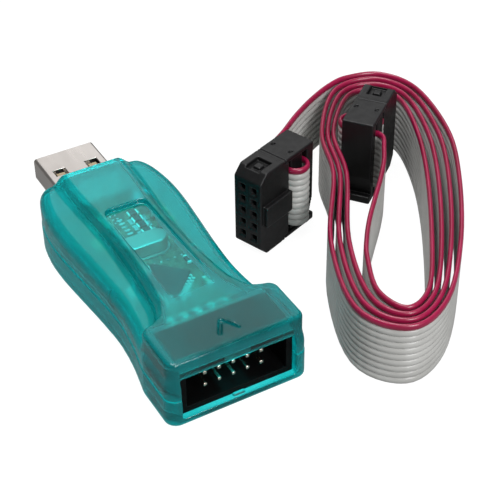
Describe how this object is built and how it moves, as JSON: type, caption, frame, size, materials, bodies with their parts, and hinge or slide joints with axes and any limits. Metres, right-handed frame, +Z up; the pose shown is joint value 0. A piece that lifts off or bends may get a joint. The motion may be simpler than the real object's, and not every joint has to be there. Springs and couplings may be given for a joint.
{
  "type": "usb microcontroller programmer",
  "caption": "Translucent two-part case with a USB-A plug at one end and a keyed box header at the other, beside its coiled ribbon cable with a socket on each end.",
  "frame": {"origin": "on the bench below the middle of the case, 27 mm from its header end", "axes": "+Y runs along the case from the box header to the USB plug, +Z is up from the bench, and the cable lies on the +X side"},
  "size_m": [0.0786, 0.0783, 0.0175],
  "materials": {
    "case_top": "satin translucent",
    "case_base": "satin translucent",
    "board": "satin",
    "plug_metal": "satin",
    "black_plastic": "matte",
    "gold_plate": "polished",
    "solder": "satin",
    "chip_black": "matte",
    "can_metal": "satin",
    "capacitor_tan": "matte",
    "capacitor_yellow": "matte",
    "diode_glass": "gloss",
    "led_red": "gloss",
    "led_blue": "gloss",
    "ribbon_grey": "satin",
    "ribbon_red": "satin"
  },
  "bodies": {
    "programmer": {"lower_shell": "case_base", "circuit_board": "board", "usb_shell": "plug_metal", "usb_insulator": "black_plastic", "usb_contacts": "gold_plate", "header_housing": "black_plastic", "header_pins": "gold_plate", "header_solder": "solder", "microcontroller": "chip_black", "microcontroller_leads": "solder", "crystal_can": "can_metal", "crystal_base": "can_metal", "chip_resistors": "chip_black", "chip_capacitors": "capacitor_tan", "chip_terminals": "solder", "bulk_capacitor": "capacitor_yellow", "zener_diodes": "diode_glass", "zener_end_caps": "solder", "power_led": "led_red", "activity_led": "led_blue", "led_terminals": "solder"},
    "cover": {"upper_shell": "case_top"},
    "cable": {"ribbon_coil_grey": "ribbon_grey", "ribbon_coil_red": "ribbon_red", "ribbon_tail_b_grey": "ribbon_grey", "ribbon_tail_b_red": "ribbon_red"},
    "plug_a": {"ribbon_tail_a_grey": "ribbon_grey", "ribbon_tail_a_red": "ribbon_red", "ribbon_fold_a_grey": "ribbon_grey", "ribbon_fold_a_red": "ribbon_red", "socket_body_a": "black_plastic", "socket_contacts_a": "gold_plate", "crimp_cover_a": "black_plastic", "strain_relief_a": "black_plastic"},
    "plug_b": {"ribbon_fold_b_grey": "ribbon_grey", "ribbon_fold_b_red": "ribbon_red", "socket_body_b": "black_plastic", "socket_contacts_b": "gold_plate", "crimp_cover_b": "black_plastic", "strain_relief_b": "black_plastic"}
  },
  "joints": [
    {"name": "cover_lift", "type": "slide", "parent": "programmer", "child": "cover", "axis": [0, 0, 1], "range_m": [0, 0.02]},
    {"name": "cable_lift", "type": "slide", "parent": "programmer", "child": "cable", "axis": [0, 0, 1], "range_m": [0, 0.04]},
    {"name": "plug_a_swing", "type": "hinge", "parent": "cable", "child": "plug_a", "pos_m": [0.0628, 0.0279, 0], "axis": [0, 0, 1], "range_deg": [-20, 0]},
    {"name": "plug_b_turn", "type": "hinge", "parent": "cable", "child": "plug_b", "pos_m": [0.04864, 0.00787, 0], "axis": [0, 0, 1], "range_deg": [-8, 0]}
  ]
}
